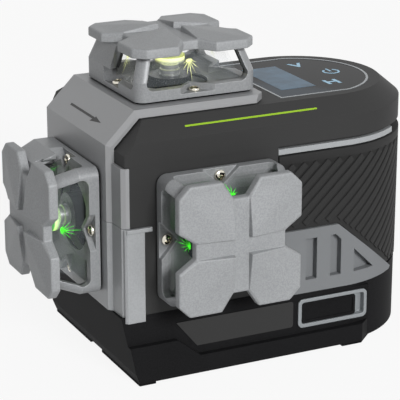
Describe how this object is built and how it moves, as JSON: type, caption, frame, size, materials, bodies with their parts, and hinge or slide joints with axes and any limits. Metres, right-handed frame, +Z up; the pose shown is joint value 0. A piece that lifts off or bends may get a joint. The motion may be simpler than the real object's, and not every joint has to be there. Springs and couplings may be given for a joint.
{
  "type": "cross-plane laser level",
  "caption": "Self-levelling laser level: boxy body with a ribbed rounded grip end, caged emitter heads on top, front and side, keypad deck and lock slider.",
  "frame": {"origin": "mouth of the tripod thread, level with the soles of the feet, under the top head's axis", "axes": "+Z up; +X along the body to its rounded grip end, away from the side head; the front head looks along -Y"},
  "size_m": [0.1657, 0.1101, 0.1319],
  "materials": {
    "housing_black": "satin moulded ABS",
    "grip_rubber": "ribbed soft-touch rubber",
    "rubber_black": "matt rubber",
    "cast_silver": "fine-grained silver paint on die-cast alloy",
    "frame_silver": "smooth silver paint",
    "vent_grey": "satin grey plastic",
    "trim_silver": "satin silver",
    "gloss_black": "gloss film",
    "lcd_blue": "lit liquid-crystal display",
    "board_green": "solder mask",
    "screw_nickel": "nickel plate",
    "inner_metal": "bare casting",
    "brass": "machined",
    "battery_blue": "wrapped cell pack",
    "clear_glass": "clear flat glass",
    "barrel_black": "black anodised",
    "lens_metal": "turned",
    "mirror_glass": "reflecting cone in a glass tube"
  },
  "bodies": {
    "body": {"base_shell": "housing_black", "rubber_feet": "rubber_black", "tripod_insert": "brass", "upper_housing": "housing_black", "end_frame": "frame_silver", "lower_guard": "frame_silver", "grip_sleeve": "grip_rubber", "side_vents": "vent_grey", "accent_strips": "trim_silver", "lock_bezel": "vent_grey", "label_plate": "gloss_black", "control_panel": "gloss_black", "panel_trim": "trim_silver", "lcd_window": "lcd_blue", "main_board": "board_green", "housing_screws": "screw_nickel", "chassis": "inner_metal", "damper_plate": "inner_metal", "battery_pack": "battery_blue", "battery_contacts": "brass", "door_pin": "screw_nickel", "charge_socket": "inner_metal", "port_pin": "screw_nickel", "board_screws": "screw_nickel", "chassis_screws": "screw_nickel", "head_frame_top": "cast_silver", "head_frame_front": "cast_silver", "head_frame_side": "cast_silver", "head_cap_top": "cast_silver", "head_cap_front": "cast_silver", "head_cap_side": "cast_silver", "head_gasket_top": "rubber_black", "head_gasket_front": "rubber_black", "head_gasket_side": "rubber_black", "head_screws_top": "screw_nickel", "head_screws_front": "screw_nickel", "head_screws_side": "screw_nickel", "window_glass_top": "clear_glass", "window_glass_front": "clear_glass", "window_glass_side": "clear_glass"},
    "gimbal": {"gimbal_ring": "inner_metal", "gimbal_pins": "screw_nickel"},
    "pendulum": {"pendulum_body": "inner_metal", "pendulum_pins": "screw_nickel", "counterweight": "brass", "trim_screws": "screw_nickel", "laser_barrel_top": "barrel_black", "laser_barrel_front": "barrel_black", "laser_barrel_side": "barrel_black", "lens_cell_top": "lens_metal", "lens_cell_front": "lens_metal", "lens_cell_side": "lens_metal", "cone_mirror_top": "mirror_glass", "cone_mirror_front": "mirror_glass", "cone_mirror_side": "mirror_glass"},
    "lock_slider": {"lock_knob": "housing_black"},
    "lock_pin": {"lock_plunger": "screw_nickel"},
    "battery_door": {"battery_door": "housing_black"},
    "port_cover": {"port_cover": "rubber_black"}
  },
  "joints": [
    {"name": "gimbal_roll", "type": "hinge", "parent": "body", "child": "gimbal", "pos_m": [0, 0, 0.086], "axis": [1, 0, 0], "range_deg": [-3, 3]},
    {"name": "gimbal_pitch", "type": "hinge", "parent": "gimbal", "child": "pendulum", "pos_m": [0, 0, 0.086], "axis": [0, 1, 0], "range_deg": [-3, 3]},
    {"name": "lock_slide", "type": "slide", "parent": "body", "child": "lock_slider", "axis": [1, 0, 0], "range_m": [0, 0.0036]},
    {"name": "lock_lift", "type": "slide", "parent": "body", "child": "lock_pin", "axis": [0, 0, 1], "range_m": [0, 0.00216]},
    {"name": "battery_door_hinge", "type": "hinge", "parent": "body", "child": "battery_door", "pos_m": [0.0569, 0.0399, 0.0175], "axis": [0, 0, -1], "range_deg": [0, 90]},
    {"name": "port_cover_hinge", "type": "hinge", "parent": "body", "child": "port_cover", "pos_m": [-0.0032, 0.0405, 0.02285], "axis": [0, 0, -1], "range_deg": [0, 90]}
  ],
  "couplings": [
    {"joint": "lock_lift", "follows": "lock_slide", "ratio": 0.6}
  ]
}
